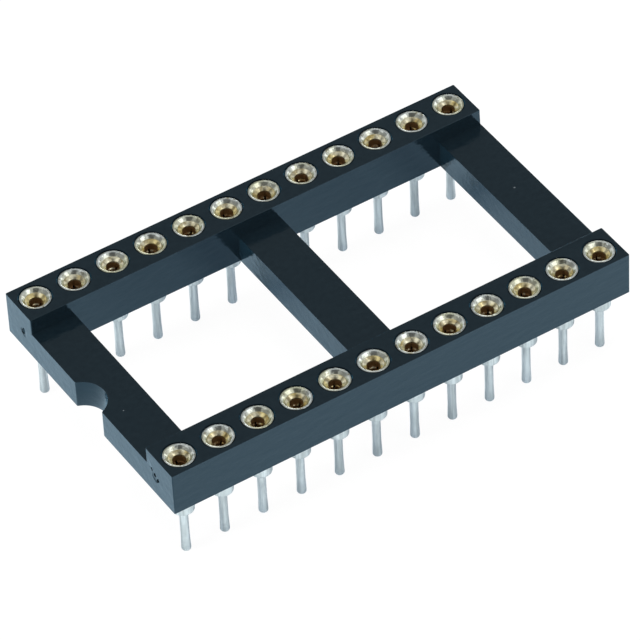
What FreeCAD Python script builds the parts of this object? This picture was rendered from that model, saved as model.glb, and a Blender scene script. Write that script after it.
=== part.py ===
import FreeCAD, Part
import math
import os

# A dual-in-line chip socket with turned contacts. Sizes are in millimetres.
# The origin is the centre of the contact pattern in the board plane, which is
# where the collars under the frame rest. +X runs along the rows, away from the
# notched end, and +Z points up to the side where the chip plugs in.

V = FreeCAD.Vector

# Contact pattern
contacts_per_row = 12
pitch = 2.54
row_spacing = 15.24

# Moulded frame
seat_height = 4.20  # board plane to the rails' top faces
frame_height = 2.90
end_margin = 1.23  # last contact's axis to the end of the frame
outer_margin = 1.25  # contact axis to the rail's outer face
inner_margin = 1.50  # contact axis to the rail's inner face
bar_width = 2.85
bar_recess = 1.05  # how far the bars lie below the rails' tops
notch_radius = 1.50
notch_depth = 1.00
rail_edge = 0.06  # small bevel along the rails' long top edges
gate_diameter = 0.70  # sheared-off mould gates on the notched end
gate_depth = 0.06
gate_inset = 0.90  # gate's axis to the rail's inner face
gate_drop = 1.55  # gate's axis below the rail's top face

# Turned sleeve
head_diameter = 1.83
head_height = 0.50
head_sink = 0.02  # rim below the rail's top face
head_gap = 0.06  # clearance round the head in its counterbore
rim_width = 0.10
lead_in_diameter = 1.24  # where the plain cone gives way to the clip's funnel
lead_in_depth = 0.20
shell_diameter = 1.32
barb_proud = 0.05
barb_height = 0.25
barb_drop = 1.20  # barb's square shoulder below the underside of the head
bore_diameter = 1.05
bore_depth = 3.40
drill_angle = 118.0
collar_bevel = 0.08
tail_diameter = 0.50
tail_length = 3.18
tail_root = 2.05  # plain length before the tail thickens
swell_diameter = 0.56  # beside the rounded tip
tip_round = 0.16

# Spring clip inside the sleeve
clip_wall = 0.10
funnel_lip = 0.02  # width of the clip's top edge
funnel_depth = 0.13
funnel_seat = 0.26  # height of the cone that backs the funnel
ring_height = 0.42
finger_length = 1.15
throat_opening = 0.42  # between the four finger tips
slot_width = 0.12
clip_turn = 40.0  # each clip is pressed in at a turn of its own, this much after the last

# Dependent sizes
frame_length = (contacts_per_row - 1) * pitch + 2 * end_margin
frame_width = row_spacing + 2 * outer_margin
rail_gap = row_spacing - 2 * inner_margin
frame_bottom = seat_height - frame_height
bar_top = seat_height - bar_recess
head_top = seat_height - head_sink
head_underside = head_top - head_height
barb_shoulder = head_underside - barb_drop
funnel_top = head_top - lead_in_depth
mouth_diameter = bore_diameter - 2 * clip_wall
fingers_start = funnel_top - funnel_depth - ring_height
throat = fingers_start - finger_length


def lathe(outline):
    """A solid of revolution about Z from a closed outline of (radius, height) points."""
    points = [V(radius, 0, height) for radius, height in outline]
    wire = Part.makePolygon(points + points[:1])
    return Part.Face(wire).revolve(V(0, 0, 0), V(0, 0, 1), 360)


def contact_place(number):
    """Axis of a contact, counted counter-clockwise from beside the notch."""
    step = number if number < contacts_per_row else 2 * contacts_per_row - 1 - number
    side = -1 if number < contacts_per_row else 1
    x = (step - (contacts_per_row - 1) / 2) * pitch
    return V(x, side * row_spacing / 2, 0)


def shell_outline(top, bottom):
    """Outside of the sleeve's shell with its barb, from top to bottom."""
    shell = shell_diameter / 2
    return [
        (shell, top),
        (shell, barb_shoulder),
        (shell + barb_proud, barb_shoulder),
        (shell, barb_shoulder - barb_height),
        (shell, bottom),
    ]


def sleeve_hole():
    """What the frame leaves open for one sleeve: counterbore, bore and barb ring."""
    counterbore = head_diameter / 2 + head_gap
    outline = [(0, seat_height), (counterbore, seat_height), (counterbore, head_underside)]
    outline += shell_outline(head_underside, frame_bottom)
    outline += [(0, frame_bottom)]
    return lathe(outline)


def box_between(low, high):
    """A box from its lowest to its highest corner."""
    size = high - low
    return Part.makeBox(size.x, size.y, size.z, low)


def window(left, right):
    """The opening between two bars, through the full height of the frame."""
    low = V(left, -rail_gap / 2, frame_bottom)
    return box_between(low, V(right, rail_gap / 2, seat_height))


def notch():
    """The round notch that marks the first contact's end."""
    centre = V(-frame_length / 2 - (notch_radius - notch_depth), 0, frame_bottom)
    return Part.makeCylinder(notch_radius, frame_height, centre)


def gate_mark(side):
    """The shallow pit that a sheared gate leaves on one rail's end."""
    place = V(-frame_length / 2, side * (rail_gap / 2 + gate_inset), seat_height - gate_drop)
    return Part.makeCylinder(gate_diameter / 2, gate_depth, place, V(1, 0, 0))


def rails_section():
    """Section across the moulding: two rails over the level of the bars, top edges broken."""
    inner = rail_gap / 2
    outer = frame_width / 2
    bevel_foot = seat_height - rail_edge
    half = [
        (inner, bar_top),
        (inner, bevel_foot),
        (inner + rail_edge, seat_height),
        (outer - rail_edge, seat_height),
        (outer, bevel_foot),
        (outer, frame_bottom),
    ]
    mirrored = [(-y, z) for y, z in reversed(half)]
    points = [V(-frame_length / 2, y, z) for y, z in half + mirrored]
    return Part.Face(Part.makePolygon(points + points[:1]))


def insulator_frame():
    """The one-piece moulding: two rails joined by three lower bars."""
    frame = rails_section().extrude(V(frame_length, 0, 0))
    inner_end = frame_length / 2 - bar_width
    cuts = [
        window(-inner_end, -bar_width / 2),
        window(bar_width / 2, inner_end),
        notch(),
        gate_mark(-1),
        gate_mark(1),
    ]
    for number in range(2 * contacts_per_row):
        hole = sleeve_hole()
        hole.translate(contact_place(number))
        cuts.append(hole)
    return frame.cut(cuts)


def sleeve_outline():
    """Half section of the turned sleeve, from the tail's root round to its bore."""
    head = head_diameter / 2
    shell = shell_diameter / 2
    bore = bore_diameter / 2
    bore_floor = head_top - bore_depth
    drill_point = bore / math.tan(math.radians(drill_angle / 2))
    outline = [
        (tail_diameter / 2, -tail_root),
        (tail_diameter / 2, 0),
        (shell - collar_bevel, 0),
        (shell, collar_bevel),
    ]
    outline += reversed(shell_outline(head_underside, collar_bevel)[:-1])
    outline += [
        (head, head_underside),
        (head, head_top),
        (head - rim_width, head_top),
        (lead_in_diameter / 2, funnel_top),
        (bore, funnel_top - funnel_seat),
        (bore, bore_floor),
        (0, bore_floor - drill_point),
    ]
    return outline


def tail_end():
    """The tail's lower length, which thickens a little towards its rounded tip."""
    swell = swell_diameter / 2
    corner = V(swell - tip_round, 0, tip_round - tail_length)
    lean = tip_round * math.sqrt(0.5)
    tip = Part.Arc(
        V(swell, 0, corner.z),
        corner + V(lean, 0, -lean),
        V(corner.x, 0, -tail_length),
    )
    root = V(tail_diameter / 2, 0, -tail_root)
    runs = [
        Part.makeLine(V(0, 0, -tail_root), root),
        Part.makeLine(root, V(swell, 0, corner.z)),
        tip.toShape(),
        Part.makeLine(V(corner.x, 0, -tail_length), V(0, 0, -tail_length)),
        Part.makeLine(V(0, 0, -tail_length), V(0, 0, -tail_root)),
    ]
    return Part.Face(Part.Wire(runs)).revolve(V(0, 0, 0), V(0, 0, 1), 360)


def contact_sleeve():
    """The turned sleeve: head, barbed shell, collar and solder tail in one piece."""
    upper = lathe(sleeve_outline() + [(0, -tail_root)])
    return upper.fuse(tail_end()).removeSplitter()


def clip_cup():
    """The clip before slotting: funnel, ring and converging cone."""
    outer = bore_diameter / 2
    mouth = mouth_diameter / 2
    inner_throat = throat_opening / 2
    return lathe([
        (lead_in_diameter / 2, funnel_top),
        (lead_in_diameter / 2 - funnel_lip, funnel_top),
        (mouth, funnel_top - funnel_depth),
        (mouth, fingers_start),
        (inner_throat, throat),
        (inner_throat + clip_wall, throat),
        (outer, fingers_start),
        (outer, funnel_top - funnel_seat),
    ])


def finger_slot():
    """One slot right across the clip, round at its root; two of them part four fingers."""
    half = slot_width / 2
    slot = box_between(V(-bore_diameter, -half, throat), V(bore_diameter, half, fingers_start))
    root = Part.makeCylinder(half, 2 * bore_diameter, V(-bore_diameter, 0, fingers_start), V(1, 0, 0))
    return slot.fuse(root)


def contact_clip():
    """The spring clip that grips the chip's lead."""
    across = finger_slot()
    along = finger_slot()
    along.rotate(V(0, 0, 0), V(0, 0, 1), 90)
    return clip_cup().cut([across, along])


def main():
    os.makedirs("parts", exist_ok=True)
    insulator_frame().exportStep("parts/insulator_frame.step")
    sleeve = contact_sleeve()
    clip = contact_clip()
    for number in range(2 * contacts_per_row):
        place = contact_place(number)
        placed_sleeve = sleeve.copy()
        placed_sleeve.translate(place)
        placed_sleeve.exportStep(f"parts/contact_sleeve_{number + 1:02d}.step")
        placed_clip = clip.copy()
        placed_clip.rotate(V(0, 0, 0), V(0, 0, 1), number * clip_turn)
        placed_clip.translate(place)
        placed_clip.exportStep(f"parts/contact_clip_{number + 1:02d}.step")


main()
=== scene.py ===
import math

import bmesh
import bpy
from mathutils import Matrix, Vector, noise


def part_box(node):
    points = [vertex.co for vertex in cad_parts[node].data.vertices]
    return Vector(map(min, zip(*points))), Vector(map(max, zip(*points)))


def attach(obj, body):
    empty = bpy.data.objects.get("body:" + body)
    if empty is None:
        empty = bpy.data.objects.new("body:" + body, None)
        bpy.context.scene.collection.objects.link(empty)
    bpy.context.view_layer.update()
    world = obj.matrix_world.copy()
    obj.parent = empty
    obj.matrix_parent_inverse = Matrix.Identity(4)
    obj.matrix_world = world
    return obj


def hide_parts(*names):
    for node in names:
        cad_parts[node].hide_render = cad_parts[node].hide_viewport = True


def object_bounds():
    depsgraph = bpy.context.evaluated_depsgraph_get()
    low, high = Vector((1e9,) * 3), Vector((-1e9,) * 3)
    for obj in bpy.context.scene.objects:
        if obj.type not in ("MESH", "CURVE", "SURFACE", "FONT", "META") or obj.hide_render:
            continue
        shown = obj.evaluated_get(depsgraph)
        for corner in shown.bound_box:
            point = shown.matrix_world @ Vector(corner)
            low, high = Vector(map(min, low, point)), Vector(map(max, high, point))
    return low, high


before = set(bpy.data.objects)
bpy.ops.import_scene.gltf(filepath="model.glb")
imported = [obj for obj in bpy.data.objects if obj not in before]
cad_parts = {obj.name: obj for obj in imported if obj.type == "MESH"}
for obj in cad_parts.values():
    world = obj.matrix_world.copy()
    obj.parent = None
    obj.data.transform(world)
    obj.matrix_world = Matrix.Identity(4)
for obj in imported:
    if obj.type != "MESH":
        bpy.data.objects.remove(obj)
cad_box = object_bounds()


# The view: from in front and to the left of the notched end, looking down at 44 degrees
# through a long lens, so that the socket fills the picture and its rows run up to the right.
camera = bpy.data.objects.new("camera", bpy.data.cameras.new("camera"))
bpy.context.scene.collection.objects.link(camera)
bpy.context.scene.camera = camera
camera.data.sensor_width = 36.0
camera.data.lens = 318.4
camera_place = (-0.118476, -0.198711, 0.223024)
heading = -30.803
elevation = 43.872
roll = -3.178
camera.matrix_world = (
    Matrix.Translation(camera_place)
    @ Matrix.Rotation(math.radians(heading), 4, "Z")
    @ Matrix.Rotation(math.radians(90 - elevation), 4, "X")
    @ Matrix.Rotation(math.radians(roll), 4, "Z")
)


# The table: a white sheet under the solder tails' tips. The camera sees it as plain white
# with a faint shadow of the socket. The plastic and metal mirror it with a cooler tone and a
# deeper shadow, and all other light meets a plain white sheet.
table_size = 4.0
table_white = (0.8, 0.8, 0.8, 1)
shown_white = (0.10, 0.10, 0.10, 1)
shown_tone = (1, 1, 1, 1)
shown_glow = 0.94
mirrored_white = (0.76, 0.92, 0.97, 1)
mirrored_tone = (0.50, 1.0, 1.9, 1)
mirrored_glow = 0.10


def feed(tree, node, feeds):
    """Feeds a node's inputs by name or number, each with a value or another node's output."""
    for name, value in feeds.items():
        if isinstance(value, bpy.types.NodeSocket):
            tree.links.new(value, node.inputs[name])
        else:
            node.inputs[name].default_value = value


def add_node(tree, kind, feeds=None, **settings):
    """Adds a node with its settings and feeds."""
    node = tree.nodes.new(kind)
    for name, value in settings.items():
        setattr(node, name, value)
    feed(tree, node, feeds or {})
    return node


def glowing(tree, white, tone, strength):
    """A sheet that takes light and shadow and glows as well."""
    lit = add_node(tree, "ShaderNodeBsdfDiffuse", {"Color": white})
    glow = add_node(tree, "ShaderNodeEmission", {"Color": tone, "Strength": strength})
    return add_node(tree, "ShaderNodeAddShader", {0: lit.outputs[0], 1: glow.outputs[0]})


table_finish = bpy.data.materials.new("white_table")
table_finish.use_nodes = True
tree = table_finish.node_tree
tree.nodes.clear()
ray = add_node(tree, "ShaderNodeLightPath")
seen = add_node(
    tree, "ShaderNodeMath",
    {0: ray.outputs["Is Camera Ray"], 1: ray.outputs["Is Transmission Ray"]}, use_clamp=True,
)
lit = add_node(tree, "ShaderNodeBsdfDiffuse", {"Color": table_white})
shown = glowing(tree, shown_white, shown_tone, shown_glow)
mirrored = glowing(tree, mirrored_white, mirrored_tone, mirrored_glow)
unseen = add_node(
    tree, "ShaderNodeMixShader",
    {0: ray.outputs["Is Glossy Ray"], 1: lit.outputs[0], 2: mirrored.outputs[0]},
)
table_look = add_node(
    tree, "ShaderNodeMixShader",
    {0: seen.outputs[0], 1: unseen.outputs[0], 2: shown.outputs[0]},
)
add_node(tree, "ShaderNodeOutputMaterial", {"Surface": table_look.outputs[0]})

table_shape = bmesh.new()
bmesh.ops.create_grid(table_shape, x_segments=1, y_segments=1, size=table_size / 2)
table_mesh = bpy.data.meshes.new("table")
table_shape.to_mesh(table_mesh)
table_shape.free()
table_mesh.materials.append(table_finish)
table = bpy.data.objects.new("table", table_mesh)
table.location.z = cad_box[0].z
bpy.context.scene.collection.objects.link(table)


# The studio: a white tent that the plastic and metal mirror. It is darker in patches where
# the camera stands, at the left, the back and the right, and lighter in one high up. Three
# softboxes show in the metal, and two fills, overhead and at the left, only give light.
tent_horizon = 0.85
tent_zenith = 0.62
# A patch has its level out to the core's half-angle and is gone at the rim's, in degrees.
patches = [
    {"towards": (-0.46, -0.55, 0.69), "core": 13, "rim": 32, "level": 0.12},
    {"towards": (-0.80, 0.34, 0.46), "core": 20, "rim": 42, "level": 0.28},
    {"towards": (-0.585, 0.19, 0.79), "core": 8, "rim": 17, "level": 0.85},
    {"towards": (0.38, 0.62, 0.69), "core": 12, "rim": 26, "level": 0.27},
    {"towards": (0.89, -0.11, 0.44), "core": 9, "rim": 17, "level": 0.48},
]
softboxes = {
    "softbox_front_right": {
        "towards": (0.46, -0.64, 0.62), "away": 0.50, "size": 0.27, "radiance": 0.82,
    },
    "softbox_right": {
        "towards": (0.98, -0.01, 0.18), "away": 0.60, "size": 0.16, "radiance": 0.78,
    },
    "softbox_back_right": {
        "towards": (0.60, 0.77, 0.24), "away": 0.60, "size": 0.20, "radiance": 2.2,
    },
    "fill_overhead": {
        "towards": (-0.05, 0.0, 1.0), "away": 0.60, "size": 0.30, "radiance": 4.2,
    },
    "fill_left": {
        "towards": (-0.90, 0.10, 0.36), "away": 0.60, "size": 0.30, "radiance": 7.0,
    },
}


def ranged(tree, value, low, high, start=0.0, end=1.0, way="LINEAR"):
    """A value's run from low to high as a run from start to end, held beyond both."""
    return add_node(
        tree, "ShaderNodeMapRange",
        {"Value": value, "From Min": low, "From Max": high, "To Min": start, "To Max": end},
        interpolation_type=way,
    ).outputs[0]


world = bpy.data.worlds.new("tent")
bpy.context.scene.world = world
world.use_nodes = True
tree = world.node_tree
tree.nodes.clear()
direction = add_node(tree, "ShaderNodeTexCoord").outputs["Generated"]
rise = add_node(tree, "ShaderNodeSeparateXYZ", {0: direction}).outputs["Z"]
tent = ranged(tree, rise, 0.0, 1.0, tent_horizon, tent_zenith)
for patch in patches:
    nearness = add_node(
        tree, "ShaderNodeVectorMath",
        {0: direction, 1: Vector(patch["towards"]).normalized()}, operation="DOT_PRODUCT",
    ).outputs["Value"]
    core = math.cos(math.radians(patch["core"]))
    rim = math.cos(math.radians(patch["rim"]))
    tent = ranged(tree, nearness, rim, core, tent, patch["level"], "SMOOTHSTEP")
tent_look = add_node(tree, "ShaderNodeBackground", {"Color": tent})
add_node(tree, "ShaderNodeOutputWorld", {"Surface": tent_look.outputs[0]})

socket_middle = (cad_box[0] + cad_box[1]) / 2
for name, box in softboxes.items():
    lamp = bpy.data.lights.new(name, "AREA")
    lamp.size = box["size"]
    lamp.energy = box["radiance"] * math.pi * box["size"] ** 2
    softbox = bpy.data.objects.new(name, lamp)
    towards = Vector(box["towards"]).normalized()
    facing = towards.to_track_quat("Z", "Y").to_matrix().to_4x4()
    softbox.matrix_world = Matrix.Translation(socket_middle + towards * box["away"]) @ facing
    softbox.visible_camera = False
    softbox.visible_glossy = not name.startswith("fill")
    bpy.context.scene.collection.objects.link(softbox)


# The moulded frame is one piece of glass-filled black polyester. Its two rails carry the
# contacts in stepped holes, and three lower bars tie them, with a window on each side of
# the middle one. The round notch marks contact 1, and both gates were sheared off beside it.
mm = 0.001  # sizes are in millimetres from here on, and each mesh is scaled when it is done
frame_low, frame_high = (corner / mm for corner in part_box("insulator_frame"))
sleeve_low, sleeve_high = (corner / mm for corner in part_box("contact_sleeve_01"))
contacts = len([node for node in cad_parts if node.startswith("contact_sleeve")])
contact_places = []
for number in range(1, contacts + 1):
    low, high = (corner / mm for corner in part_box(f"contact_sleeve_{number:02d}"))
    contact_places.append((low + high) / 2)

rail_width = 2.75
bar_width = 2.85
bar_recess = 1.05
rail_inner = frame_high.y - rail_width
bar_top = frame_high.z - bar_recess
notch_radius = 1.5
notch_depth = 1.0
notch_sides = 96
frame_edge = 0.02
corner_edge = 0.06

# Each sheared gate is a shallow uneven dish, and deeper torn blobs lie in and beside it.
gate_radius = 0.35
gate_depth = 0.045
gate_inset = 0.9
gate_drop = 1.55
gate_clear = 0.20  # edges this near a gate stay sharp
dish_lump = 0.22
dish_lump_scale = 3.1
gate_tears = {
    -1: [
        {"at": (0.34, 0.36), "half": (0.08, 0.13), "depth": 0.10, "turn": -20},
        {"at": (0.11, 0.07), "half": (0.11, 0.18), "depth": 0.15, "turn": 15},
        {"at": (-0.20, -0.12), "half": (0.11, 0.27), "depth": 0.17, "turn": 40},
    ],
    1: [
        {"at": (0.10, -0.02), "half": (0.17, 0.28), "depth": 0.14, "turn": 8},
    ],
}
tear_lump = 0.35
tear_lump_scale = 1.7
tear_variety = 5

head_top = sleeve_high.z
head_radius = (sleeve_high.x - sleeve_low.x) / 2
head_gap = 0.075
head_height = 0.5
head_underside = head_top - head_height
shell_radius = 0.66
barb_proud = 0.05
barb_height = 0.25
barb_drop = 1.2
barb_shoulder = head_top - head_height - barb_drop

around = 64
spare = 1.0  # how far the cutters reach past the moulding
weld_reach = 1e-4
noise_span = (0.3, 0.7)  # where most of the noise's values lie
flat_within = math.radians(1)
sharp_turn = math.radians(40)
crease = math.radians(50)

black_tones = [(0.35, (0.0024, 0.0052, 0.0076, 1)), (0.75, (0.0052, 0.0098, 0.0130, 1))]
plastic_roughness = (0.09, 0.15)
plastic_ior = 1.62
plastic_mirror_tint = (0.55, 0.82, 1.0, 1)
bloom = 0.35
bloom_roughness = 0.33
bloom_tint = (0.14, 0.62, 1.0, 1)
flow_stretch = (0.45, 1.0, 1.3)
dust = (0.12, 0.135, 0.145, 1)
dust_grains = [((13.71, 0.45), 0.06), ((-14.15, -2.02), 0.04), ((-13.49, -5.35), 0.04)]


def on_circle(centre, radius, angle, height):
    """A point at that radius, angle and height about a vertical axis."""
    return (centre.x + radius * math.cos(angle), centre.y + radius * math.sin(angle), height)


def turned(outline, centre):
    """A closed shape of revolution about a vertical axis, from (radius, height) points."""
    shape = bmesh.new()
    along = shape.verts.layers.float.new("along")
    rings = []
    run = 0.0
    last = outline[0]
    for radius, height in outline:
        run += math.dist(last, (radius, height))
        last = (radius, height)
        ring = []
        for side in range(around if radius > 0 else 1):
            spot = on_circle(centre, radius, math.tau * side / around, height)
            ring.append(shape.verts.new(spot))
            ring[-1][along] = run
        rings.append(ring)
    for first, second in zip(rings, rings[1:]):
        for side in range(around):
            after = (side + 1) % around
            corners = [
                first[side % len(first)], first[after % len(first)],
                second[after % len(second)], second[side % len(second)],
            ]
            shape.faces.new(dict.fromkeys(corners))
    return shape


def object_from(shape, name):
    """An object in the scene from a shape, which it uses up."""
    bmesh.ops.recalc_face_normals(shape, faces=shape.faces)
    mesh = bpy.data.meshes.new(name)
    shape.to_mesh(mesh)
    shape.free()
    made = bpy.data.objects.new(name, mesh)
    bpy.context.scene.collection.objects.link(made)
    return made


def box_between(shape, low, high):
    """Adds a box from its lowest to its highest corner."""
    middle = (Vector(low) + Vector(high)) / 2
    size = Vector(high) - Vector(low)
    place = Matrix.Translation(middle) @ Matrix.Diagonal(size.to_4d())
    bmesh.ops.create_cube(shape, size=1, matrix=place)


half_section = [
    (rail_inner, bar_top),
    (rail_inner, frame_high.z),
    (frame_high.y, frame_high.z),
    (frame_high.y, frame_low.z),
]
section = half_section + [(-y, z) for y, z in reversed(half_section)]
moulding = bmesh.new()
ends = [[moulding.verts.new((x, y, z)) for y, z in section] for x in (frame_low.x, frame_high.x)]
for end in ends:
    moulding.faces.new(end)
for step in range(len(section)):
    after = (step + 1) % len(section)
    moulding.faces.new((ends[0][step], ends[0][after], ends[1][after], ends[1][step]))
moulding = object_from(moulding, "moulding")

openings = bmesh.new()
inner_end = frame_high.x - bar_width
for left, right in ((-inner_end, -bar_width / 2), (bar_width / 2, inner_end)):
    box_between(
        openings,
        (left, -rail_inner, frame_low.z - spare),
        (right, rail_inner, frame_high.z + spare),
    )
notch_centre = (frame_low.x - notch_radius + notch_depth, 0, (frame_low.z + frame_high.z) / 2)
bmesh.ops.create_cone(
    openings, cap_ends=True, segments=notch_sides, radius1=notch_radius, radius2=notch_radius,
    depth=frame_high.z - frame_low.z + 2 * spare, matrix=Matrix.Translation(notch_centre),
)
gate_places = [
    Vector((frame_low.x, side * (rail_inner + gate_inset), frame_high.z - gate_drop))
    for side in (-1, 1)
]
for place in gate_places:
    dish = bmesh.ops.create_uvsphere(openings, u_segments=32, v_segments=24, radius=gate_radius)
    for vert in dish["verts"]:
        inward, sideways, upward = vert.co
        lump = 1 + dish_lump * noise.noise(vert.co * dish_lump_scale + place)
        flattened = inward * gate_depth / gate_radius
        vert.co = place + Vector((flattened, sideways * lump, upward * lump))
openings = object_from(openings, "openings")

tears = bmesh.new()
for place, side in zip(gate_places, (-1, 1)):
    for tear in gate_tears[side]:
        blob = bmesh.ops.create_icosphere(tears, subdivisions=3, radius=1)
        lean = Matrix.Rotation(math.radians(tear["turn"]), 3, "X")
        half_y, half_z = tear["half"]
        middle = place + Vector((0, *tear["at"]))
        for vert in blob["verts"]:
            inward, sideways, upward = vert.co
            rough = 1 + tear_lump * noise.noise(vert.co * tear_lump_scale + middle * tear_variety)
            shaped = Vector((inward * tear["depth"], sideways * half_y, upward * half_z))
            vert.co = middle + lean @ (shaped * rough)
tears = object_from(tears, "tears")

stepped_hole = [
    (0, frame_low.z - spare),
    (shell_radius, frame_low.z - spare),
    (shell_radius, barb_shoulder - barb_height),
    (shell_radius + barb_proud, barb_shoulder),
    (shell_radius, barb_shoulder),
    (shell_radius, head_underside),
    (head_radius + head_gap, head_underside),
    (head_radius + head_gap, frame_high.z + spare),
    (0, frame_high.z + spare),
]
holes = bmesh.new()
for place in contact_places:
    hole = turned(stepped_hole, place)
    scratch = bpy.data.meshes.new("hole")
    hole.to_mesh(scratch)
    hole.free()
    holes.from_mesh(scratch)
    bpy.data.meshes.remove(scratch)
holes = object_from(holes, "holes")

for cutter in (openings, tears, holes):
    cut = moulding.modifiers.new(cutter.name, "BOOLEAN")
    cut.operation = "DIFFERENCE"
    cut.solver = "EXACT"
    cut.object = cutter
bpy.context.view_layer.update()
cut_moulding = moulding.evaluated_get(bpy.context.evaluated_depsgraph_get())
cut_mesh = bpy.data.meshes.new_from_object(cut_moulding)
for tool in (moulding, openings, tears, holes):
    bpy.data.objects.remove(tool)


def outside_corner(edge, upright):
    """True on the moulding's sharp outside edges, upright or not, clear of holes and gates."""
    if not edge.is_manifold or not edge.is_convex or edge.calc_face_angle() < sharp_turn:
        return False
    one, other = (vert.co for vert in edge.verts)
    if upright != ((one - other).xy.length < weld_reach):
        return False
    middle = (one + other) / 2
    if any((middle - place).length < gate_radius + gate_clear for place in gate_places):
        return False
    hole_clear = head_radius + 2 * head_gap
    return all((middle - place).xy.length > hole_clear for place in contact_places)


shape = bmesh.new()
shape.from_mesh(cut_mesh)
bmesh.ops.remove_doubles(shape, verts=shape.verts, dist=weld_reach)
bmesh.ops.dissolve_limit(
    shape, angle_limit=flat_within, verts=shape.verts, edges=shape.edges, delimit=set()
)
for upright, reach in ((True, corner_edge), (False, frame_edge)):
    bmesh.ops.bevel(
        shape, geom=[edge for edge in shape.edges if outside_corner(edge, upright)], offset=reach,
        offset_type="OFFSET", segments=2, profile=0.5, affect="EDGES", clamp_overlap=False,
    )
shape.to_mesh(cut_mesh)
shape.free()
cut_mesh.name = "moulded_frame"


def material_named(name):
    """A new material, its nodes, its shader and the shaded point in millimetres."""
    made = bpy.data.materials.new(name)
    made.use_nodes = True
    tree = made.node_tree
    in_metres = add_node(tree, "ShaderNodeTexCoord").outputs["Object"]
    spot = add_node(
        tree, "ShaderNodeVectorMath", {0: in_metres, "Scale": 1 / mm}, operation="SCALE"
    )
    return made, tree, tree.nodes["Principled BSDF"], spot.outputs[0]


def stretched(tree, spot, factors):
    """The point with its coordinates multiplied. A small factor draws the noise out."""
    return add_node(
        tree, "ShaderNodeVectorMath", {0: spot, 1: factors}, operation="MULTIPLY"
    ).outputs[0]


def clouds(tree, spot, scale, detail, roughness=0.5):
    """Soft noise at the point, about as many clouds to the millimetre as the scale says."""
    return add_node(
        tree, "ShaderNodeTexNoise",
        {"Vector": spot, "Scale": scale, "Detail": detail, "Roughness": roughness},
    ).outputs[0]


def toned(tree, value, stops):
    """The colour at a value, blended between stops of (value, colour) in rising order."""
    ramp = add_node(tree, "ShaderNodeValToRGB", {0: value})
    elements = ramp.color_ramp.elements
    for element, (position, colour) in zip(elements, (stops[0], stops[-1])):
        element.position = position
        element.color = colour
    for position, colour in stops[1:-1]:
        elements.new(position).color = colour
    return ramp.outputs["Color"]


def blended(tree, share, under, over, way="MIX"):
    """One colour laid over another by a share, or multiplied into it by a share."""
    return add_node(
        tree, "ShaderNodeMixRGB", {"Fac": share, "Color1": under, "Color2": over}, blend_type=way
    ).outputs[0]


def reckoned(tree, operation, *values):
    """The result of one arithmetic operation on values."""
    return add_node(
        tree, "ShaderNodeMath", dict(enumerate(values)), operation=operation
    ).outputs[0]


def relief(tree, height, strength, distance, under=None):
    """Fine relief of so many millimetres, on top of another relief if one is given."""
    feeds = {"Height": height, "Strength": strength, "Distance": distance * mm}
    if under is not None:
        feeds["Normal"] = under
    return add_node(tree, "ShaderNodeBump", feeds).outputs[0]


# The plastic is mottled, with a cool bloom, faint flow marks and three grains of dust.
polyester, tree, shader, spot = material_named("moulded_black_polyester")
mottle = clouds(tree, spot, scale=3.2, detail=4.0, roughness=0.6)
tone = toned(tree, mottle, black_tones)
for grain_place, grain_radius in dust_grains:
    off = add_node(
        tree, "ShaderNodeVectorMath", {0: spot, 1: (*grain_place, bar_top)}, operation="DISTANCE"
    ).outputs["Value"]
    tone = blended(tree, reckoned(tree, "LESS_THAN", off, grain_radius), tone, dust)
haze = clouds(tree, spot, scale=0.45, detail=3.0)
gloss = ranged(tree, haze, *noise_span, *plastic_roughness)
flow = clouds(tree, stretched(tree, spot, flow_stretch), scale=1.7, detail=5.0)
flow = relief(tree, flow, strength=0.6, distance=0.040)
grain = clouds(tree, spot, scale=7.0, detail=3.0)
grain = relief(tree, grain, strength=0.5, distance=0.006, under=flow)
feed(tree, shader, {
    "Base Color": tone,
    "Roughness": gloss,
    "Normal": grain,
    "IOR": plastic_ior,
    "Specular Tint": plastic_mirror_tint,
    "Sheen Weight": bloom,
    "Sheen Roughness": bloom_roughness,
    "Sheen Tint": bloom_tint,
})


def finished(piece, material, creased):
    """Scales a piece to metres and gives it its material and smooth shading."""
    piece.data.transform(Matrix.Scale(mm, 4))
    piece.data.materials.clear()
    piece.data.materials.append(material)
    piece.data.shade_smooth()
    flat = piece.modifiers.new("flat", "WEIGHTED_NORMAL")
    if creased:
        piece.data.set_sharp_from_angle(angle=crease)
        flat.keep_sharp = True


moulded_frame = bpy.data.objects.new("moulded_frame", cut_mesh)
bpy.context.scene.collection.objects.link(moulded_frame)
finished(moulded_frame, polyester, creased=True)
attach(moulded_frame, "root")
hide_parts("insulator_frame")


# Each contact's sleeve is turned from brass in one piece and tin plated: a head with a
# conical lead-in, a barbed shell pressed into the frame, a collar that stands on the board
# and a thin solder tail. Its blind bore holds the spring clip.
rim_width = 0.10
lead_in_depth = 0.20
cone_foot = (0.62, head_top - lead_in_depth)
funnel_seat = 0.26
bore_radius = 0.525
bore_start = cone_foot[1] - funnel_seat
bore_depth = 3.40
bore_floor = head_top - bore_depth
drill_angle = 118
drill_point = bore_radius / math.tan(math.radians(drill_angle / 2))
collar_bevel = 0.08
tail_radius = 0.25
tail_root = 2.05
tail_swell = 0.28
tail_end = sleeve_low.z
tip_round = 0.16
tip_steps = 5
tip_run = 0.01  # above the rounding, before the tail narrows
edge_reach = 0.04
side_share = 0.4

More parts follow.
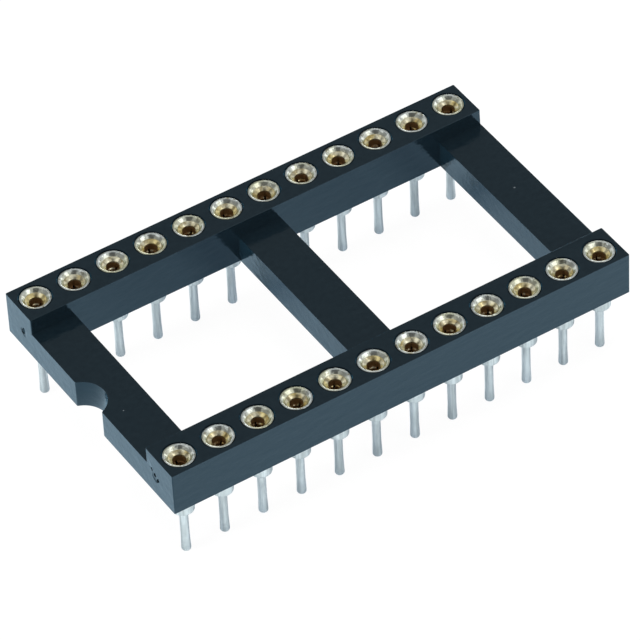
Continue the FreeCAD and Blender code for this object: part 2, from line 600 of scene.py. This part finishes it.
tin_tones = [(0.32, (0.70, 0.70, 0.66, 1)), (0.68, (0.94, 0.94, 0.90, 1))]
# Low in the cone the tint is yellower, a painted reflection of the gold clip; it cools towards the
# rim.
head_tints_with_painted_reflection = [  # from the foot of the cone up to the rim
    (0.0, (1.0, 0.93, 0.90, 1)),
    (0.25, (0.83, 0.84, 0.71, 1)),
    (0.80, (0.84, 0.90, 0.90, 1)),
    (0.95, (0.87, 0.94, 0.96, 1)),
]
head_foot = cone_foot[1] - 0.1
head_crown = head_top + 0.02
outside_from = 1.4  # below these heights the collar and tail stand out of the frame
outside_full = 1.2
tin_roughness = (0.11, 0.19)
outside_roughness = 0.32
smudge_stretch = (2.4, 2.4, 0.35)
streak_stretch = (6.0, 6.0, 0.25)
# The streaks' darkening on the collar and tail: painted reflections of the neighbouring tails and
# the body.
painted_streak_shade = (0.80, 0.80, 0.80, 1)
streak_span = (0.44, 0.58)  # a streak, tint or stain sets in over such a span of its noise
warm_plating = (1.0, 0.95, 0.72, 1)
warm_span = (0.47, 0.62)
tarnish = (0.42, 0.41, 0.30, 1)
stain_span = (0.60, 0.67)


def eased(outline, reach):
    """The outline with its corners rounded off from at most that far, or a share of a side."""
    points = [Vector(point) for point in outline]
    rounded = [points[0]]
    for before, corner, after in zip(points, points[1:], points[2:]):
        back = before - corner
        on = after - corner
        cut = min(reach, side_share * back.length, side_share * on.length)
        start = corner + back.normalized() * cut
        end = corner + on.normalized() * cut
        for share in (0, 1 / 3, 2 / 3, 1):
            rounded.append(
                start * (1 - share) ** 2 + corner * 2 * share * (1 - share) + end * share ** 2
            )
    rounded.append(points[-1])
    return [tuple(point) for point in rounded]


tip = []
for step in range(tip_steps + 1):
    lean = math.pi / 2 * step / tip_steps
    tip.append((
        tail_swell - tip_round * (1 - math.sin(lean)),
        tail_end + tip_round * (1 - math.cos(lean)),
    ))
sleeve_outline = [(0, tail_end)] + tip + eased(
    [
        (tail_swell, tail_end + tip_round + tip_run),
        (tail_radius, -tail_root),
        (tail_radius, 0),
        (shell_radius - collar_bevel, 0),
        (shell_radius, collar_bevel),
        (shell_radius, barb_shoulder - barb_height),
        (shell_radius + barb_proud, barb_shoulder),
        (shell_radius, barb_shoulder),
        (shell_radius, head_underside),
        (head_radius, head_underside),
        (head_radius, head_top),
        (head_radius - rim_width, head_top),
        cone_foot,
        (bore_radius, bore_start),
        (bore_radius, bore_floor),
        (0, bore_floor - drill_point),
    ],
    edge_reach,
)

# The tin is smudged along its length. The collar and tail carry darker vertical streaks that are
# painted reflections of the neighbouring tails and the body. The head is tinted from foot to rim,
# yellower low in the cone as a painted reflection of the gold clip, warmer on some contacts, and
# stained in small blots.
tin, tree, shader, spot = material_named("bright_tin_plate")
height = add_node(tree, "ShaderNodeSeparateXYZ", {0: spot}).outputs["Z"]
in_head = ranged(tree, height, head_foot, head_crown)
outside = ranged(tree, height, outside_from, outside_full)
smudge = clouds(tree, stretched(tree, spot, smudge_stretch), scale=1.3, detail=3.0)
tone = toned(tree, smudge, tin_tones)
# The head's tint, yellower low in the cone as a painted reflection of the gold clip.
tone = blended(tree, 1.0, tone, toned(tree, in_head, head_tints_with_painted_reflection), "MULTIPLY")
# Darker vertical streaks on the collar and tail, painted reflections of the neighbouring tails and
# the body.
reflection_streaks = clouds(tree, stretched(tree, spot, streak_stretch), scale=1.0, detail=2.0)
reflection_streaked = ranged(tree, reflection_streaks, *streak_span, end=outside)
tone = blended(tree, reflection_streaked, tone, painted_streak_shade, "MULTIPLY")
bath = clouds(tree, spot, scale=0.5, detail=1.0)
warmed = ranged(tree, bath, *warm_span, end=in_head)
tone = blended(tree, warmed, tone, warm_plating, "MULTIPLY")
blots = clouds(tree, spot, scale=3.4, detail=2.0)
stained = ranged(tree, blots, *stain_span, end=in_head)
tone = blended(tree, stained, tone, tarnish)
polish = ranged(tree, smudge, *noise_span, *tin_roughness)
gloss = ranged(tree, outside, 0.0, 1.0, polish, outside_roughness)
along = add_node(tree, "ShaderNodeAttribute", attribute_name="along").outputs["Fac"]
turning = add_node(
    tree, "ShaderNodeTexNoise", {"W": along, "Scale": 22.0, "Detail": 2.0}, noise_dimensions="1D"
).outputs[0]
turning = relief(tree, turning, strength=0.4, distance=0.006)
ripple = clouds(tree, spot, scale=2.4, detail=2.0)
ripple = relief(tree, ripple, strength=0.6, distance=0.08, under=turning)
feed(tree, shader, {
    "Base Color": tone,
    "Roughness": gloss,
    "Normal": ripple,
    "Metallic": 1.0,
})

for number, place in enumerate(contact_places, 1):
    sleeve = object_from(turned(sleeve_outline, place), f"turned_sleeve_{number:02d}")
    finished(sleeve, tin, creased=False)
    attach(sleeve, "root")
    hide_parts(f"contact_sleeve_{number:02d}")


# The spring clip is drawn from thin beryllium copper and flashed with gold. Its funnel lies
# in the sleeve's lead-in, its ring grips the bore, and four slots part the fingers that
# close in on the chip's lead. Each clip was pressed in at a turn of its own.
clip_wall = 0.14
lip_width = 0.012
lip = (cone_foot[0] - lip_width, cone_foot[1])
funnel_depth = 0.145
mouth = (bore_radius - clip_wall, cone_foot[1] - funnel_depth)
flare_reach = 0.03
below_lip = 0.1  # share of the way from the lip to the mouth
ring_height = 0.47
fingers_start = mouth[1] - ring_height
shoulder = 0.075  # the fingers first turn in this much, at 45 degrees
finger_length = 1.05
finger_drops = [0.02, 0.06, 0.075, 0.09, 0.2, 0.4, 0.6, 0.8, finger_length]
throat = 0.21
slot_half = 0.06
slot_steps = 4
finger_steps = 12
clip_turn = math.radians(40)

gold_tones = [(0.35, (0.44, 0.38, 0.22, 1)), (0.62, (0.88, 0.85, 0.64, 1))]
gold_roughness = (0.10, 0.17)
deep_amber = (0.96, 0.86, 0.58, 1)
amber_span = (0.48, 0.62)
# Below the mouth the clip darkens with depth into painted shade in the bore.
painted_shade_full = mouth[1] - 0.14
painted_shade_gone = mouth[1] + 0.04
# Round the fingers' shoulder the painted shade is lifted in patches.
patch_middle = fingers_start - shoulder / 2
patch_reach = (shoulder, shoulder * 0.6)
patch_span = (0.50, 0.56)
patch_share = 0.9
# The painted shade in the bore: a dull dark copper brown, rougher and less metallic.
painted_bore_shade = (0.22, 0.12, 0.045, 1)
bore_shade_roughness = 0.5
bore_shade_metal = 0.6


def bore_of_clip(height):
    """The radius inside the converging fingers at a height."""
    down = fingers_start - height
    if down < shoulder:
        return mouth[0] - down
    start = mouth[0] - shoulder
    return start + (throat - start) * (down - shoulder) / (finger_length - shoulder)


def spring_clip(centre, turn):
    """A clip as a closed shape, with its four slots and round slot roots."""
    shape = bmesh.new()

    def vert_at(radius, angle, height):
        return shape.verts.new(on_circle(centre, radius, angle + turn, height))

    def strip(upper, lower, closed):
        columns = len(upper)
        for column in range(columns if closed else columns - 1):
            after = (column + 1) % columns
            shape.faces.new((upper[column], upper[after], lower[after], lower[column]))

    def angles(quarter, half):
        reach = math.pi / 2 - 2 * half
        start = quarter * math.pi / 2 + half
        return [start + reach * step / finger_steps for step in range(finger_steps + 1)]

    half_at_ring = math.asin(slot_half / mouth[0])
    columns = []
    for quarter in range(4):
        middle = quarter * math.pi / 2
        for step in range(1, slot_steps):
            columns.append((middle - half_at_ring + 2 * half_at_ring * step / slot_steps, True))
        columns += [(angle, False) for angle in angles(quarter, half_at_ring)]

    def root_height(angle, in_slot):
        if not in_slot:
            return fingers_start
        middle = round(angle / (math.pi / 2)) * math.pi / 2
        aside = mouth[0] * math.sin(angle - middle)
        return fingers_start + math.sqrt(max(slot_half ** 2 - aside ** 2, 0))

    def ring(radius, height):
        return [vert_at(radius, angle, height) for angle, _ in columns]

    def roots(radius):
        return [vert_at(radius, angle, root_height(angle, slot)) for angle, slot in columns]

    # A ring of points just below the lip keeps the lip from bending the funnel's shading.
    support = tuple(Vector(lip).lerp(Vector(mouth), below_lip))
    ring_top = (mouth[0], mouth[1] - flare_reach)
    flare = eased([lip, support, mouth, ring_top], flare_reach)
    inside = [ring(radius, height) for radius, height in flare] + [roots(mouth[0])]
    outside = [ring(*cone_foot), ring(bore_radius, bore_start), roots(bore_radius)]
    strip(outside[0], inside[0], closed=True)
    for wall in (inside, outside):
        for upper, lower in zip(wall, wall[1:]):
            strip(upper, lower, closed=True)

    for quarter in range(4):
        first = quarter * (slot_steps + finger_steps) + slot_steps - 1
        slot_columns = [(first - step) % len(columns) for step in range(slot_steps, -1, -1)]
        slot_in = [inside[-1][column] for column in slot_columns]
        slot_out = [outside[-1][column] for column in slot_columns]
        strip(slot_out, slot_in, closed=False)
        upper_in = inside[-1][first:first + finger_steps + 1]
        upper_out = outside[-1][first:first + finger_steps + 1]
        for drop in finger_drops:
            height = fingers_start - drop
            radius = bore_of_clip(height)
            spread = angles(quarter, math.asin(slot_half / radius))
            lower_in = [vert_at(radius, angle, height) for angle in spread]
            lower_out = [vert_at(radius + clip_wall, angle, height) for angle in spread]
            strip(upper_in, lower_in, closed=False)
            strip(upper_out, lower_out, closed=False)
            for edge in (0, -1):
                shape.faces.new((upper_in[edge], upper_out[edge], lower_out[edge], lower_in[edge]))
            upper_in, upper_out = lower_in, lower_out
        strip(upper_in, upper_out, closed=False)
    return shape


# The gold is worn and dented, and a deeper amber in places. A little below the mouth it gives
# way to a dull dark copper brown that is painted shade in the bore, and round the fingers'
# shoulder this painted shade is lifted in patches, so that the shoulder glints there.
gold, tree, shader, spot = material_named("gold_flash")
wear = clouds(tree, spot, scale=3.0, detail=3.0)
tone = toned(tree, wear, gold_tones)
amber = ranged(tree, clouds(tree, spot, scale=1.1, detail=1.0), *amber_span)
tone = blended(tree, amber, tone, deep_amber, "MULTIPLY")
height = add_node(tree, "ShaderNodeSeparateXYZ", {0: spot}).outputs["Z"]
# Painted shade in the bore: full a little below the mouth, gone just above it.
free_of_painted_shade = ranged(tree, height, painted_shade_full, painted_shade_gone, way="SMOOTHSTEP")
away = reckoned(tree, "ABSOLUTE", reckoned(tree, "SUBTRACT", height, patch_middle))
# Patches round the fingers' shoulder where the painted shade is lifted.
unshaded_patches = ranged(tree, wear, *patch_span, end=patch_share)
unshaded_patches = reckoned(tree, "MULTIPLY", ranged(tree, away, *patch_reach), unshaded_patches)
free_of_painted_shade = reckoned(tree, "MAXIMUM", free_of_painted_shade, unshaded_patches)
polish = ranged(tree, wear, *noise_span, *gold_roughness)
feed(tree, shader, {
    "Base Color": blended(tree, free_of_painted_shade, painted_bore_shade, tone),
    "Roughness": ranged(tree, free_of_painted_shade, 0.0, 1.0, bore_shade_roughness, polish),
    "Metallic": ranged(tree, free_of_painted_shade, 0.0, 1.0, bore_shade_metal, 1.0),
    "Normal": relief(tree, wear, strength=0.5, distance=0.028),
})

for number, place in enumerate(contact_places, 1):
    shape = spring_clip(place, (number - 1) * clip_turn)
    clip = object_from(shape, f"spring_clip_{number:02d}")
    finished(clip, gold, creased=True)
    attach(clip, "root")
    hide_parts(f"contact_clip_{number:02d}")


bpy.context.scene.view_settings.view_transform = "Standard"
